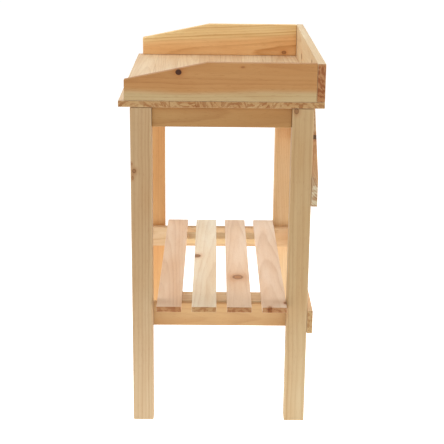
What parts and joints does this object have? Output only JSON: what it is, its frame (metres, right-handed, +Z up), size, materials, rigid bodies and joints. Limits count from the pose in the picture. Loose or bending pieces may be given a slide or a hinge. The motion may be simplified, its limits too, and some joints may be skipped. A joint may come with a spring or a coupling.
{
  "type": "potting bench",
  "caption": "Small pine potting bench with a raised edge on three sides of its worktop and a loose slatted shelf near the floor",
  "frame": {"origin": "on the floor, under the middle of the bench and its shelf together; the worktop's own middle is 8.75 mm to -X of it, because the shelf stands 17.5 mm past the worktop's +X end", "axes": "+Z up, -Y towards the open front where the user stands, +X towards the user's right"},
  "size_m": [0.6176, 0.39, 0.7338],
  "materials": {
    "pine_worktop": "bare planed pine, glued staves, pale",
    "pine_legs": "bare planed pine with rounded edges",
    "pine_tray_boards": "bare planed pine with a few knots",
    "pine_rails": "bare planed pine",
    "pine_rear_boards": "bare planed pine",
    "pine_slats": "bare planed pine with a few knots",
    "beech_dowel": "bare beech",
    "zinc_screw": "zinc-plated countersunk wood screw"
  },
  "bodies": {
    "bench": {"back_panel": "pine_tray_boards", "back_screw_left": "zinc_screw", "back_screw_right": "zinc_screw", "brace_screw_left_lower": "zinc_screw", "brace_screw_left_upper": "zinc_screw", "brace_screw_right_lower": "zinc_screw", "brace_screw_right_upper": "zinc_screw", "corner_screw_left_lower": "zinc_screw", "corner_screw_left_upper": "zinc_screw", "corner_screw_right_lower": "zinc_screw", "corner_screw_right_upper": "zinc_screw", "dowel_front_left": "beech_dowel", "dowel_front_right": "beech_dowel", "dowel_rear_left": "beech_dowel", "dowel_rear_right": "beech_dowel", "leg_front_left": "pine_legs", "leg_front_right": "pine_legs", "leg_rear_left": "pine_legs", "leg_rear_right": "pine_legs", "lower_rail_left": "pine_rails", "lower_rail_right": "pine_rails", "rail_dowel_front_left_lower": "beech_dowel", "rail_dowel_front_left_upper": "beech_dowel", "rail_dowel_front_right_lower": "beech_dowel", "rail_dowel_front_right_upper": "beech_dowel", "rail_dowel_rear_left_lower": "beech_dowel", "rail_dowel_rear_left_upper": "beech_dowel", "rail_dowel_rear_right_lower": "beech_dowel", "rail_dowel_rear_right_upper": "beech_dowel", "rear_brace": "pine_rear_boards", "rear_stretcher": "pine_rear_boards", "side_panel_left": "pine_tray_boards", "side_panel_right": "pine_tray_boards", "side_screw_left": "zinc_screw", "side_screw_right": "zinc_screw", "stretcher_screw_left_lower": "zinc_screw", "stretcher_screw_left_upper": "zinc_screw", "stretcher_screw_right_lower": "zinc_screw", "stretcher_screw_right_upper": "zinc_screw", "upper_rail_left": "pine_rails", "upper_rail_right": "pine_rails", "worktop": "pine_worktop", "worktop_screw_front_left": "zinc_screw", "worktop_screw_front_right": "zinc_screw", "worktop_screw_rear_left": "zinc_screw", "worktop_screw_rear_right": "zinc_screw"},
    "shelf": {"batten_left": "pine_rails", "batten_right": "pine_rails", "slat_1": "pine_slats", "slat_2": "pine_slats", "slat_3": "pine_slats", "slat_4": "pine_slats", "slat_screw_1_left": "zinc_screw", "slat_screw_1_right": "zinc_screw", "slat_screw_2_left": "zinc_screw", "slat_screw_2_right": "zinc_screw", "slat_screw_3_left": "zinc_screw", "slat_screw_3_right": "zinc_screw", "slat_screw_4_left": "zinc_screw", "slat_screw_4_right": "zinc_screw"}
  },
  "joints": [
    {"name": "shelf_slide", "type": "slide", "parent": "bench", "child": "shelf", "axis": [-1, 0, 0], "range_m": [0, 0.038]}
  ]
}
